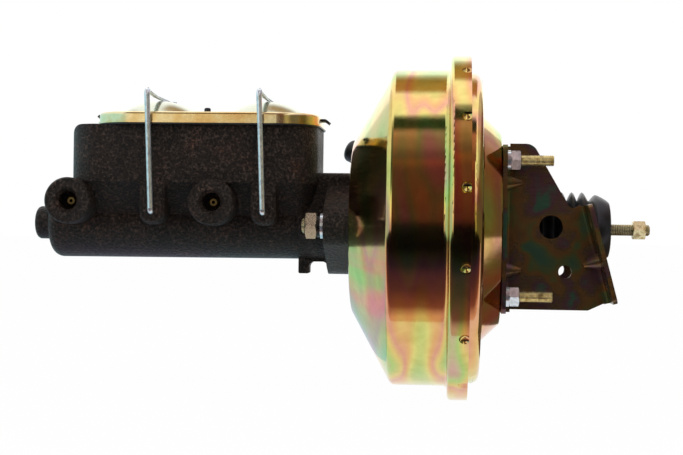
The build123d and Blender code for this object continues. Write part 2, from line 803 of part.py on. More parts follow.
def tank_block():
    """Upper block of the tank: rounded in plan, at its front shoulder and along its sides."""
    front = FRONT_X - TANK_FRONT
    rear = FRONT_X - TANK_REAR
    block = Pos(0, 0, TANK_KNEE) * extrude(plan(front, rear, TANK_HALF, TANK_CORNER), TANK_TOP - TANK_KNEE)
    low = TANK_KNEE - 1
    shoulder = FilletPolyline(
        [(front, low), (front, TANK_TOP), (rear, TANK_TOP), (rear, low)],
        radius=[0, TANK_SHOULDER, 0, 0],
        close=True,
    )
    crown = FilletPolyline(
        [(-TANK_HALF, low), (-TANK_HALF, TANK_TOP), (TANK_HALF, TANK_TOP), (TANK_HALF, low)],
        radius=[0, TANK_EDGE, TANK_EDGE, 0],
        close=True,
    )
    block &= extrude(Plane.XZ * make_face(shoulder), TANK_HALF + 1, both=True)
    return block & Pos(front - 1, 0, 0) * extrude(Plane.YZ * make_face(crown), rear - front + 2)


def lug_below():
    """Lug under the housing, joined to the flange over an arched gap."""
    front = FRONT_X - LUG_X - LUG_W / 2
    rear = FRONT_X - MC_FLANGE_T + 1
    step = FRONT_X - LUG_X + LUG_W / 2
    arch_top = -HOUSING_R - 1
    outline = FilletPolyline(
        [
            (front, -HOUSING_R / 2),
            (front, -LUG_DEPTH),
            (step, -LUG_DEPTH),
            (step, arch_top),
            (rear - 1, arch_top),
            (rear - 1, -LUG_DEPTH + 1),
            (rear, -LUG_DEPTH + 1),
            (rear, -HOUSING_R / 2),
        ],
        radius=[0, LUG_W / 6, LUG_W / 6, LUG_ARCH, LUG_ARCH, 0, 0, 0],
        close=True,
    )
    return extrude(Plane.XZ * make_face(outline), LUG_HALF_Y, both=True)


def master_cylinder_body():
    tank_front = FRONT_X - TANK_FRONT
    tank_rear = FRONT_X - TANK_REAR
    nose_end = MC_FRONT_X + NOSE_LENGTH
    housing = turned(
        (MC_FRONT_X, 0, 0),
        (MC_FRONT_X, NOSE_R, NOSE_CORNER),
        (nose_end, NOSE_R, 1.5),
        (nose_end, HOUSING_R, HOUSING_CORNER),
        (FRONT_X - 1, HOUSING_R - 1, 0),
        (FRONT_X - 1, 0, 0),
    )
    upper = Pos(0, 0, TANK_KNEE) * plan(tank_front, tank_rear, TANK_HALF, TANK_CORNER)
    lower = Pos(0, 0, PORT_Z / 3) * plan(tank_front + 2, tank_rear - 8, HOUSING_R - 3, TANK_SHOULDER)
    body = housing + tank_block() + loft([lower, upper])
    # Mounting flange: a round middle and two stud ears joined by straight flanks
    ears = [Pos(side * STUD_Y, 0) * Circle(EAR_R) for side in (-1, 1)]
    diamond = make_hull(Sketch([Circle(MC_FLANGE_R), *ears]).edges())
    body += Pos(EAR_X, 0, 0) * extrude(Plane.YZ * diamond, EAR_T)
    flange = turned(
        (FRONT_X - MC_FLANGE_T, 0, 0),
        (FRONT_X - MC_FLANGE_T, MC_FLANGE_R - 1, 1.0),
        (FRONT_X - EAR_T / 2, MC_FLANGE_R - 0.5, 0),
        (FRONT_X - EAR_T / 2, 0, 0),
    )
    body += flange
    # Flat-topped neck from the tank over the flange to its mounting face
    neck = Box(TANK_REAR + 8, 2 * NECK_HALF, NECK_TOP, align=(Align.MAX, Align.CENTER, Align.MIN))
    body += Pos(FRONT_X, 0, 0) * fillet(neck.edges().filter_by(Axis.X).group_by(Axis.Z)[-1], NECK_CORNER)
    body += lug_below()
    for offset in BAIL_X:
        rib = bail_rib(FRONT_X - offset)
        body += rib + mirror(rib, Plane.XZ)
    holes = []
    for offset in PORT_X:
        boss, hole = outlet(FRONT_X - offset)
        body += boss
        holes.append(hole)
    # Two fluid chambers, each with a feed and a compensating port to the bore
    shelf = tank_front + SHELF
    split = FRONT_X - CHAMBER_SPLIT
    depth = TANK_TOP - TANK_FLOOR + 1
    for x0, x1 in ((shelf, split - TANK_WALL / 2), (split + TANK_WALL / 2, tank_rear - TANK_WALL)):
        chamber = plan(x0, x1, TANK_HALF - TANK_WALL, CHAMBER_CORNER)
        holes.append(Pos(0, 0, TANK_FLOOR) * extrude(chamber, depth))
    for end in (PRIMARY_END_X, SECONDARY_END_X):
        for offset in FEED_X:
            feed = Cylinder(FEED_R, TANK_FLOOR - CYL_BORE_R + 8)
            holes.append(Pos(end - offset, 0, (TANK_FLOOR + CYL_BORE_R) / 2) * feed)
    holes.append(stop_screw_at(SEAT_GAP))
    holes.append(
        turned(
            (FRONT_X + 1, 0, 0),
            (FRONT_X + 1, SEAL_POCKET_R, 0),
            (FRONT_X - SEAL_POCKET_DEPTH, SEAL_POCKET_R, 0),
            (FRONT_X - SEAL_POCKET_DEPTH, CYL_BORE_R, 0),
            (FRONT_X - CYL_BORE_LENGTH, CYL_BORE_R, 0),
            (FRONT_X - CYL_BORE_LENGTH - 3, 0, 0),
        )
    )
    groove = FRONT_X - RETAINER_X - RETAINER_T - SEAT_GAP
    holes.append(rod_between(groove, groove + RETAINER_T + 2 * SEAT_GAP, CYL_BORE_R + 1.2))
    for side in (-1, 1):
        holes.append(rod_between(EAR_X - 8, FRONT_X + 1, MC_STUD_R + SOFT_GAP, side * STUD_Y))
        holes.append(rod_between(EAR_X - MC_NUT_T * 2, EAR_X, MC_WASHER_R + 2, side * STUD_Y))
        for offset in BAIL_X:
            pin = Rotation(90, 0, 0) * Cylinder(BAIL_WIRE_R + RUN_GAP, 2 * (BAIL_PIN + 1))
            holes.append(Pos(FRONT_X - offset, side * RIB_FACE_Y, BAIL_PIVOT_Z) * pin)
    return body - holes


def stop_screw_at(gap):
    """Screw from the front chamber's floor that stops the secondary piston going rearward."""
    x = SECONDARY_END_X + CUP_LENGTH + LAND + STOP_SCREW_R + 1
    low = WAIST_R + 0.7
    shank = Pos(x, 0, low - gap) * Cylinder(
        STOP_SCREW_R + gap, TANK_FLOOR - low + 2 * gap, align=(Align.CENTER, Align.CENTER, Align.MIN)
    )
    return shank


def stop_screw():
    x = SECONDARY_END_X + CUP_LENGTH + LAND + STOP_SCREW_R + 1
    head = Pos(x, 0, TANK_FLOOR) * extrude(RegularPolygon(5, 6, major_radius=False), 4)
    return stop_screw_at(0) + head


def retaining_ring():
    start = FRONT_X - RETAINER_X - RETAINER_T
    ring = ring_about(start, start + RETAINER_T, CYL_BORE_R - 2, CYL_BORE_R + 1.1)
    gap = Pos(start, 0, -CYL_BORE_R) * Box(4, 7, 8)
    return ring - gap


def primary_piston():
    outer = CYL_BORE_R - RUN_GAP
    end = PRIMARY_END_X
    socket = FRONT_X - OUTPUT_REACH - 2
    return turned(
        (end, 0, 0),
        (end, CUP_NOSE_R, 0.5),
        (end + CUP_LENGTH, CUP_NOSE_R, 0),
        (end + CUP_LENGTH, outer, 0),
        (end + CUP_LENGTH + LAND, outer, 0),
        (end + CUP_LENGTH + LAND, WAIST_R, 1),
        (PRIMARY_X - 3 * LAND, WAIST_R, 1),
        (PRIMARY_X - 3 * LAND, outer, 0),
        (PRIMARY_X - 2 * LAND, outer, 0),
        (PRIMARY_X - 2 * LAND, GROOVE_R, 0),
        (PRIMARY_X - LAND, GROOVE_R, 0),
        (PRIMARY_X - LAND, outer, 0),
        (PRIMARY_X, outer, 0.5),
        (PRIMARY_X, OUTPUT_ROD_R + 1.5, 0),
        (socket, OUTPUT_ROD_R + 1.5, 0),
        (socket - 2, 0, 0),
    )


def secondary_piston():
    outer = CYL_BORE_R - RUN_GAP
    end = SECONDARY_END_X
    start = SECONDARY_X
    return turned(
        (end, 0, 0),
        (end, CUP_NOSE_R, 0.5),
        (end + CUP_LENGTH, CUP_NOSE_R, 0),
        (end + CUP_LENGTH, outer, 0),
        (end + CUP_LENGTH + LAND, outer, 0),
        (end + CUP_LENGTH + LAND, WAIST_R, 1),
        (start - 2.5 * LAND, WAIST_R, 1),
        (start - 2.5 * LAND, outer, 0),
        (start - 2 * LAND, outer, 0),
        (start - 2 * LAND, GROOVE_R, 0),
        (start - LAND, GROOVE_R, 0),
        (start - LAND, outer, 0),
        (start, outer, 0.5),
        (start, 0, 0),
    )


def cup(x0, inner_r):
    """Rubber cup with its lip toward the front."""
    outer = CYL_BORE_R - SEAL_GAP
    return turned(
        (x0 + CUP_LENGTH - SEAT_GAP * 2, inner_r + SEAT_GAP, 0),
        (x0 + CUP_LENGTH - SEAT_GAP * 2, outer - 0.4, 0),
        (x0 + 0.5, outer, 0),
        (x0 + 0.5, outer - 1.2, 0),
        (x0 + CUP_LENGTH * 0.4, outer - 2.2, 0),
        (x0 + CUP_LENGTH * 0.4, inner_r + SEAT_GAP, 0),
    )


def groove_ring(x0):
    return ring_about(x0 + SEAT_GAP, x0 + LAND - SEAT_GAP, GROOVE_R + SEAT_GAP, CYL_BORE_R - SEAL_GAP)


def primary_cups():
    return Compound([cup(PRIMARY_END_X, CUP_NOSE_R), groove_ring(PRIMARY_X - 2 * LAND)])


def secondary_cups():
    return Compound([cup(SECONDARY_END_X, CUP_NOSE_R), groove_ring(SECONDARY_X - 2 * LAND)])


def primary_spring():
    return coil(SECONDARY_X + SEAT_GAP, PRIMARY_END_X - SEAT_GAP, CUP_NOSE_R, BORE_WIRE_R, COIL_TURNS)


def secondary_spring():
    return coil(FRONT_X - CYL_BORE_LENGTH, SECONDARY_END_X - SEAT_GAP, CUP_NOSE_R, BORE_WIRE_R, COIL_TURNS)


def dome_shell(x, grow):
    """Spherical cap that swells from the cover's top, grown by a skin thickness."""
    height = DOME_HEIGHT
    ball_r = (DOME_R ** 2 + height ** 2) / (2 * height)
    centre = COVER_TOP + height - ball_r
    return Pos(x, 0, centre) * Sphere(ball_r + grow)


def cover_plan(grow):
    front = FRONT_X - COVER_FRONT - grow
    rear = FRONT_X - COVER_REAR + grow
    return plan(front, rear, COVER_HALF + grow, COVER_CORNER + grow)


def reservoir_cover():
    outer = Pos(0, 0, COVER_BASE) * extrude(cover_plan(0), COVER_TOP - COVER_BASE)
    outer = fillet(outer.edges().group_by(Axis.Z)[-1], COVER_EDGE)
    above = Pos(FRONT_X - COVER_FRONT / 2, 0, COVER_TOP - COVER_T) * Box(
        2 * COVER_FRONT, 4 * COVER_HALF, 4 * DOME_HEIGHT, align=(Align.CENTER, Align.CENTER, Align.MIN)
    )
    inner = Pos(0, 0, COVER_BASE) * extrude(cover_plan(-COVER_T), COVER_TOP - COVER_T - COVER_BASE)
    lip = Pos(0, 0, COVER_BASE) * extrude(cover_plan(COVER_LIP), COVER_T)
    cover = outer + lip
    hollows = [inner]
    for offset in BAIL_X:
        x = FRONT_X - offset - DOME_LEAD
        cover += dome_shell(x, 0) & above
        hollows.append(dome_shell(x, -COVER_T) & (Pos(0, 0, -1) * above))
    hollows.append(Pos(FRONT_X - NUB_X, 0, COVER_TOP) * Cylinder(NUB_R + SEAT_GAP, 4 * COVER_T))
    slot = Box(4 * COVER_T, 2 * (TAB_HALF + SEAT_GAP), TAB_T + 2 * SEAT_GAP)
    for x in (FRONT_X - COVER_FRONT, FRONT_X - COVER_REAR):
        hollows.append(Pos(x, 0, COVER_TOP - TAB_DROP) * slot)
    return cover - hollows


def cover_gasket():
    skin = COVER_T + SEAT_GAP
    top = COVER_TOP - COVER_T - SEAT_GAP
    sheet = Pos(0, 0, TANK_TOP) * extrude(cover_plan(COVER_LIP), COVER_BASE - TANK_TOP)
    bead = Pos(0, 0, TANK_TOP) * extrude(cover_plan(-skin), top - TANK_TOP)
    well = Pos(0, 0, TANK_TOP + CUP_WALL) * extrude(cover_plan(-skin - 3 * CUP_WALL), top)
    gasket = sheet + bead - well
    front = FRONT_X - TANK_FRONT + SHELF
    split = FRONT_X - CHAMBER_SPLIT
    rear = FRONT_X - TANK_REAR - TANK_WALL
    # A bellows cup hangs into each chamber
    half = TANK_HALF - TANK_WALL - CUP_CLEAR
    corner = CHAMBER_CORNER - CUP_WALL / 2
    cup_floor = TANK_TOP - CUP_SINK
    for x0, x1 in ((front, split - TANK_WALL / 2), (split + TANK_WALL / 2, rear)):
        cup_outer = plan(x0 + CUP_CLEAR, x1 - CUP_CLEAR, half, corner)
        cup_inner = offset(cup_outer, -CUP_WALL)
        gasket += Pos(0, 0, cup_floor) * extrude(cup_outer, CUP_SINK + CUP_WALL / 2)
        gasket -= Pos(0, 0, cup_floor + CUP_WALL) * extrude(cup_inner, CUP_SINK + CUP_WALL)
    stalk = Cylinder(NUB_R, NUB_TOP - TANK_TOP, align=(Align.CENTER, Align.CENTER, Align.MIN))
    gasket += Pos(FRONT_X - NUB_X, 0, TANK_TOP) * fillet(stalk.edges().sort_by(Axis.Z)[-1], NUB_R / 2)
    tab_z = COVER_TOP - TAB_DROP
    for x, side in ((FRONT_X - COVER_FRONT, -1), (FRONT_X - COVER_REAR, 1)):
        line = FilletPolyline(
            [
                (x - side * 2 * TAB_T, tab_z),
                (x + side * TAB_REACH / 2, tab_z),
                (x + side * TAB_REACH, tab_z - side * TAB_T * 1.1),
            ],
            radius=TAB_T,
        )
        gasket += extrude(Plane.XZ.offset(-TAB_HALF) * trace(line, line_width=TAB_T), 2 * TAB_HALF)
    return gasket


def bail(setback):
    """Wire bail, drawn about its pivot and then leaned forward on to the cover."""
    pin = RIB_FACE_Y - BAIL_PIN
    corner = BAIL_CORNER_Z - BAIL_PIVOT_Z
    middle = BAIL_MIDDLE_Z - BAIL_PIVOT_Z
    points = [
        (0, -pin, 0),
        (0, -BAIL_Y, 0),
        (0, -BAIL_Y, corner),
        (0, -BAIL_Y / 2, middle),
        (0, BAIL_Y / 2, middle),
        (0, BAIL_Y, corner),
        (0, BAIL_Y, 0),
        (0, pin, 0),
    ]
    bend = 2 * BAIL_WIRE_R
    foot = BAIL_WIRE_R * 1.2
    line = FilletPolyline(points, radius=[foot, bend, BAIL_SWEEP_R, BAIL_SWEEP_R, bend, foot])
    section = Plane(origin=line @ 0, z_dir=line % 0) * Circle(BAIL_WIRE_R)
    wire = sweep(section, path=line)
    return Pos(FRONT_X - setback, 0, BAIL_PIVOT_Z) * Rotation(0, -BAIL_LEAN, 0) * wire


def vacuum_grommet():
    point, normal = cone_frame()
    neck = INLET_HOLE_R - SEAT_GAP
    grommet = turned(
        (SEAT_GAP, VALVE_STEM_R + SEAT_GAP, 0),
        (SEAT_GAP - SHELL_T - 1.4, VALVE_STEM_R + SEAT_GAP, 0),
        (-SHELL_T - 4.4, VALVE_STEM_R + SEAT_GAP, 0),
        (-SHELL_T - 4.4, neck, 1),
        (-SHELL_T - 1.4, GROMMET_R - 1, 1),
        (-SHELL_T - 1.4, neck, 0),
        (SEAT_GAP, neck, 0),
        (SEAT_GAP, GROMMET_R, 0.5),
        (GROMMET_RISE, GROMMET_R - 1, 1.2),
        (GROMMET_RISE, VALVE_STEM_R + SEAT_GAP, 0),
    )
    return along(*point, normal) * grommet


def check_valve():
    point, normal = cone_frame()
    body = turned(
        (-SHELL_T - 8, VALVE_BORE_INNER, 0),
        (-SHELL_T - 8, VALVE_STEM_R - 1, 0.5),
        (-SHELL_T - 5, VALVE_STEM_R, 0.5),
        (GROMMET_RISE + SEAT_GAP, VALVE_STEM_R, 0),
        (GROMMET_RISE + SEAT_GAP, VALVE_BODY_R, 0.8),
        (VALVE_TOP, VALVE_BODY_R - 0.6, 3.5),
        (VALVE_TOP, 0, 0),
        (NIPPLE_RISE, 0, 0),
        (NIPPLE_RISE, VALVE_BORE_INNER, 0),
    )
    valve = along(*point, normal) * body
    nipple = turned(
        (0, 0, 0),
        (0, NIPPLE_ROOT_R - 1, 0),
        (NIPPLE_ROOT, NIPPLE_ROOT_R, 1),
        (NIPPLE_ROOT, NIPPLE_R, 0),
        (NIPPLE_LENGTH - 1, NIPPLE_R, 0),
        (NIPPLE_LENGTH, NIPPLE_R - 1, 0),
        (NIPPLE_LENGTH, VALVE_BORE_INNER, 0),
        (NIPPLE_ROOT, VALVE_BORE_INNER, 0),
        (NIPPLE_ROOT, 0, 0),
    )
    return valve + Pos(*(point + normal * NIPPLE_RISE)) * Rotation(0, 0, 90) * nipple


left_bracket = bracket()
PARTS = {
    "front_shell": front_shell(),
    "rear_shell": rear_shell(),
    "diaphragm": diaphragm(),
    "diaphragm_plate": diaphragm_plate(),
    "power_piston": power_piston(),
    "reaction_disc": reaction_disc(),
    "output_rod": output_rod(),
    "valve_plunger": valve_plunger(),
    "poppet_valve": poppet_valve(),
    "poppet_spring": poppet_spring(),
    "spring_retainer": spring_retainer(),
    "air_filter": air_filter(),
    "return_spring": return_spring(),
    "front_seal": front_seal(),
    "rear_bearing_seal": rear_bearing_seal(),
    "boot": boot(),
    "input_rod": input_rod(),
    "jam_nut": jam_nut(),
    "rear_studs": four_rear(rear_stud),
    "rear_washers": four_rear(rear_washer),
    "rear_nuts": four_rear(rear_nut),
    "master_cylinder_studs": two_front(mc_stud),
    "master_cylinder_flat_washers": two_front(mc_flat_washer),
    "master_cylinder_lock_washers": two_front(mc_lock_washer),
    "master_cylinder_nuts": two_front(mc_nut),
    "left_bracket": left_bracket,
    "right_bracket": mirror(left_bracket, Plane.XZ),
    "master_cylinder_body": master_cylinder_body(),
    "tube_seats": Compound([tube_seat(FRONT_X - offset) for offset in PORT_X]),
    "stop_screw": stop_screw(),
    "retaining_ring": retaining_ring(),
    "primary_piston": primary_piston(),
    "secondary_piston": secondary_piston(),
    "primary_cups": primary_cups(),
    "secondary_cups": secondary_cups(),
    "primary_spring": primary_spring(),
    "secondary_spring": secondary_spring(),
    "reservoir_cover": reservoir_cover(),
    "cover_gasket": cover_gasket(),
    "front_bail": bail(BAIL_X[0]),
    "rear_bail": bail(BAIL_X[1]),
    "vacuum_grommet": vacuum_grommet(),
    "check_valve": check_valve(),
}

os.makedirs("parts", exist_ok=True)
for name, shape in PARTS.items():
    export_step(shape, f"parts/{name}.step")
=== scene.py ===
import json
import math

import bpy
from mathutils import Matrix, Vector


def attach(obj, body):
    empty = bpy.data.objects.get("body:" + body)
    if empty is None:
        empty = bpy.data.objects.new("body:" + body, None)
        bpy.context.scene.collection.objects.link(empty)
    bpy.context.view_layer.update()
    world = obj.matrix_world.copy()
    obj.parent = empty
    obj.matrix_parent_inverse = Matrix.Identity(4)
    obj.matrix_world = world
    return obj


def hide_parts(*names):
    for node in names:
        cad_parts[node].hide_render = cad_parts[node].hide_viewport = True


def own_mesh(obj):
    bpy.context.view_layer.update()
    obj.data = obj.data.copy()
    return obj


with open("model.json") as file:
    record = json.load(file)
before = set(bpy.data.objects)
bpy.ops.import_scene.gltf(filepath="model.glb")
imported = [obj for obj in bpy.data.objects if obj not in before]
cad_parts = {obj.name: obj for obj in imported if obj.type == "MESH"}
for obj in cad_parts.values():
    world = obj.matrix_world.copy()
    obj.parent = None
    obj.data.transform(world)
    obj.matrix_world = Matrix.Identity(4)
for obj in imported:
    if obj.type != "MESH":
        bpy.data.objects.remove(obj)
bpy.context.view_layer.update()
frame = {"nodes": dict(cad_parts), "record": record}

# Sizes of the object are in millimetres, and MM turns them to metres. Sizes of the studio are in metres
MM = 0.001

# Where the photograph was taken from, in the booster's frame, with its angles in degrees
CAMERA_PLACE = (-102.2, -1000.9, -0.9)
CAMERA_TURN = 4.456
CAMERA_ROLL = 0.784
CAMERA_LENS = 72.27
CAMERA_SENSOR = 36
CAMERA_CLIP = (0.01, 50)

# Height of the floor, and how far above it the cards lie that the shells reflect
FLOOR_Z = -124.6
FLOOR_CARD_LIFT = 1.5
DARK_CARD_LIFT = 1

# Boot, as in the CAD source
BOOT_MOUTH_X = -62.9
BOOT_MOUTH_R = 26.05
BOOT_NECK_X = -51.4
BOOT_PEAK_R = 26.9
BOOT_VALLEY_R = 19.2
BOOT_PITCH = 7.3
BOOT_LAST_PEAK = -6.6
BOOT_LAST_VALLEY = 0.62
BOOT_PEAKS = 6
BOOT_CAP = ((2.8, 25.0), (12.4, 19.6))
BOOT_HOLE_R = 4.3
BOOT_T = 1.3

# Rings of points that the boot's folds and edges are rounded from: steps along X and in radius
MOUTH_LIP = 0.4
PEAK_HALF = 0.55
PEAK_DROP = 0.3
VALLEY_HALF = 0.5
VALLEY_LIFT = 0.4
CAP_RIM_STEPS = ((-0.6, -0.4), (0.6, -0.2))
CAP_END_STEPS = ((-0.7, 0.5), (0, -0.6))
CAP_HOLE_STEPS = (5, 0.8, 0)

# The gold cover's colour turns paler with height, from its flat rim up into its drawn domes
COVER_TOP = 79.6
PALE_START = COVER_TOP - 0.5
PALE_END = COVER_TOP + 2

# Threads, and the rear studs, which stand at the corners of a rectangle about the axis
THREAD_PITCH = 1.25
THREAD_DEPTH = 0.7
STUD_Y = 42.9
STUD_Z = 47.3
STUD_SHEET_X = -66.9
STUD_TIP_X = -30.0
STUD_R = 4.0
STUD_HEAD_R = 5.6
STUD_HEAD_T = 2.5
STUD_HEAD_EDGE = 0.3

# Thread: turns wound ahead of a stud's first end, turns beyond its length, and the gap that is welded shut
LEAD_TURNS = 2
SPARE_TURNS = 3
WELD = 0.01

# Springs: front end, rear end, mean radius and wire radius
RETURN_SPRING = (-169.4, -104.1, 27.0, 1.7)
PRIMARY_SPRING = (-292.4, -250.6, 7.0, 1.1)
SECONDARY_SPRING = (-386.6, -347.6, 7.0, 1.1)
COIL_TURNS = 6

# How finely round shapes are divided, and the angle in degrees below which faces are shaded as one
BOOT_SIDES = 80
WIRE_SIDES = 12
COIL_STEPS = 48
THREAD_STEPS = 24
HEAD_SIDES = 32
STUDIO_SIDES = 128
END_WALL_SIDES = 96
SMOOTH_ANGLE = 35

# Studio, in metres, and the share of white in the floor's colour to the camera
STUDIO_R = 2.6
STUDIO_LENGTH = 8
END_WALL_R = 2.58
FLOOR_SIZE = 24
FLOOR_WHITE = 0.985
FLOOR_CARD_Y = 1.22
FLOOR_CARD_DEPTH = 2.56
DARK_CARD_Y = -3.118
DARK_CARD_SIZE = 6
WINDOW_X = (-0.38, -0.55)
PANEL_X = (0.45, 0.60)


# Helpers


def linear(code):
    """Linear RGBA of an sRGB hex colour."""
    channels = [int(code[i:i + 2], 16) / 255 for i in (1, 3, 5)]
    return [c / 12.92 if c <= 0.04045 else ((c + 0.055) / 1.055) ** 2.4 for c in channels] + [1.0]


def put(tree, kind, inputs=None, stops=None, **settings):
    """
    Adds a shader node, sets its properties and ramp stops, then sets or links its inputs.
    An input goes by its name, or by its number where names repeat. A node given to it links its first output.
    """
    made = tree.nodes.new("ShaderNode" + kind)
    for name, value in settings.items():
        setattr(made, name, value)
    if stops:
        ramp = made.color_ramp.elements
        while len(ramp) < len(stops):
            ramp.new(0.5)
        for element, (position, code) in zip(ramp, stops):
            element.position = position
            element.color = linear(code) if isinstance(code, str) else (code, code, code, 1)
    for socket, value in (inputs or {}).items():
        if isinstance(value, bpy.types.Node):
            value = value.outputs[0]
        if isinstance(value, bpy.types.NodeSocket):
            tree.links.new(value, made.inputs[socket])
        else:
            made.inputs[socket].default_value = value
    return made


def new_finish(name):
    """Empty material, its node tree, and the object's own coordinates in it."""
    material = bpy.data.materials.new(name)
    material.use_nodes = True
    material.node_tree.nodes.clear()
    place = put(material.node_tree, "TexCoord").outputs["Object"]
    return material, material.node_tree, place


def surface(tree, shader):
    """Gives the material this shader."""
    put(tree, "OutputMaterial", {"Surface": shader})


def nothing_selected():
    """Object mode with nothing selected."""
    if bpy.context.object and bpy.context.object.mode != "OBJECT":
        bpy.ops.object.mode_set(mode="OBJECT")
    bpy.ops.object.select_all(action="DESELECT")


def edit_all():
    """Edit mode with the whole mesh selected."""
    bpy.ops.object.mode_set(mode="EDIT")
    bpy.ops.mesh.select_all(action="SELECT")


def apply_place():
    """Moves the selected object's place, turn and scale into its mesh."""
    bpy.ops.object.transform_apply(location=True, rotation=True, scale=True)


# Finishes of the metal parts

# Each pattern's size is in millimetres. Rolling lines, sand, moulding grain and fibres are finer on the real
# part than the picture can show, so they are drawn as coarse as it needs to show them


def drawn_zinc():
    """Yellow passivated zinc on a deep-drawn shell: a mirror with soft gold, pink and green tints."""
    material, tree, place = new_finish("yellow_zinc_shell")
    drawn = put(tree, "Mapping", {"Vector": place, "Scale": (2.2, 0.7, 0.7)})
    cloud = put(tree, "TexNoise", {"Vector": drawn, "Scale": 1 / (60 * MM), "Detail": 1.0})
    tint = put(
        tree, "ValToRGB", {"Fac": cloud},
        stops=[
            (0.28, "#b9d58c"), (0.37, "#e4dd8e"), (0.44, "#e8bb84"), (0.50, "#e3aa98"), (0.56, "#e6d188"),
            (0.63, "#b4d488"), (0.72, "#d9a8b4"),
        ],
    )
    patch = put(tree, "TexNoise", {"Vector": place, "Scale": 1 / (17 * MM), "Detail": 3.0})
    stain = put(
        tree, "ValToRGB", {"Fac": patch}, stops=[(0.3, "#d8d0a8"), (0.5, "#f2ecd2"), (0.7, "#e6d6bc")],
    )
    colour = put(tree, "MixRGB", {"Fac": 0.7, "Color1": tint, "Color2": stain}, blend_type="MULTIPLY")
    wipe = put(tree, "TexNoise", {"Vector": place, "Scale": 1 / (3 * MM), "Detail": 4.0})
    rough = put(tree, "MapRange", {"Value": wipe, "To Min": 0.07, "To Max": 0.15})
    peel = put(tree, "TexNoise", {"Vector": place, "Scale": 1 / (9 * MM), "Detail": 1.5})
    bump = put(tree, "Bump", {"Height": peel, "Distance": 0.04 * MM, "Strength": 0.5})
    surface(tree, put(
        tree, "BsdfPrincipled",
        {"Base Color": colour, "Metallic": 1.0, "Roughness": rough, "Normal": bump},
    ))
    return material


def rolled_zinc():
    """Heavier passivated zinc on rolled sheet: olive, green and brown patches over fine rolling lines."""
    material, tree, place = new_finish("dark_zinc_bracket")
    cloud = put(tree, "TexNoise", {"Vector": place, "Scale": 1 / (24 * MM), "Detail": 3.0, "Distortion": 0.5})
    tint = put(
        tree, "ValToRGB", {"Fac": cloud},
        stops=[
            (0.30, "#4a6a56"), (0.39, "#626a42"), (0.46, "#805a34"), (0.53, "#66543e"), (0.60, "#664652"),
            (0.68, "#466a58"),
        ],
    )
    rolled = put(tree, "Mapping", {"Vector": place, "Scale": (0.12, 1.0, 1.0)})
    lines = put(tree, "TexNoise", {"Vector": rolled, "Scale": 1 / (1.1 * MM), "Detail": 3.0})
    fade = put(tree, "ValToRGB", {"Fac": lines}, stops=[(0.35, 0.80), (0.65, 1.0)])
    colour = put(tree, "MixRGB", {"Fac": 1.0, "Color1": tint, "Color2": fade}, blend_type="MULTIPLY")
    rough = put(tree, "MapRange", {"Value": cloud, "To Min": 0.20, "To Max": 0.34})
    bump = put(tree, "Bump", {"Height": lines, "Distance": 0.02 * MM, "Strength": 0.6})
    surface(tree, put(
        tree, "BsdfPrincipled",
        {"Base Color": colour, "Metallic": 0.8, "Roughness": rough, "Normal": bump},
    ))
    return material


def gold_zinc():
    """Gold passivated zinc on the thin cover pressing: a faint sheet grain, and a colour that turns paler
    with height over the domes.
    """
    material, tree, place = new_finish("gold_zinc_cover")
    cloud = put(tree, "TexNoise", {"Vector": place, "Scale": 1 / (30 * MM), "Detail": 3.0})
    tint = put(
        tree, "ValToRGB", {"Fac": cloud},
        stops=[(0.3, "#dcae6c"), (0.45, "#e8cc92"), (0.55, "#f2e6bc"), (0.7, "#dadca6")],
    )
    height = put(tree, "SeparateXYZ", {"Vector": place}).outputs["Z"]
    drawn = put(tree, "MapRange", {"Value": height, "From Min": PALE_START * MM, "From Max": PALE_END * MM})
    colour = put(tree, "MixRGB", {"Fac": drawn, "Color1": tint, "Color2": linear("#cfd2be")})
    grain = put(tree, "TexNoise", {"Vector": place, "Scale": 1 / (2.2 * MM), "Detail": 3.0})
    rough = put(tree, "MapRange", {"Value": grain, "To Min": 0.16, "To Max": 0.30})
    bump = put(tree, "Bump", {"Height": grain, "Distance": 0.03 * MM, "Strength": 0.6})
    surface(tree, put(
        tree, "BsdfPrincipled",
        {"Base Color": colour, "Metallic": 1.0, "Roughness": rough, "Normal": bump},
    ))
    return material


def small_steel(name, stops, stain_mm, rough, grain_mm, depth_mm):
    """Plated or bare small parts: stained metal under a thin dull film, with a fine tumbled grain."""
    material, tree, place = new_finish(name)
    cloud = put(tree, "TexNoise", {"Vector": place, "Scale": 1 / (stain_mm * MM), "Detail": 4.0})
    tint = put(tree, "ValToRGB", {"Fac": cloud}, stops=stops)
    grain = put(tree, "TexNoise", {"Vector": place, "Scale": 1 / (grain_mm * MM), "Detail": 3.0})
    gloss = put(tree, "MapRange", {"Value": grain, "To Min": rough * 0.8, "To Max": rough * 1.25})
    bump = put(tree, "Bump", {"Height": grain, "Distance": depth_mm * MM, "Strength": 0.6})
    surface(tree, put(
        tree, "BsdfPrincipled",
        {"Base Color": tint, "Metallic": 0.8, "Roughness": gloss, "Normal": bump},
    ))
    return material


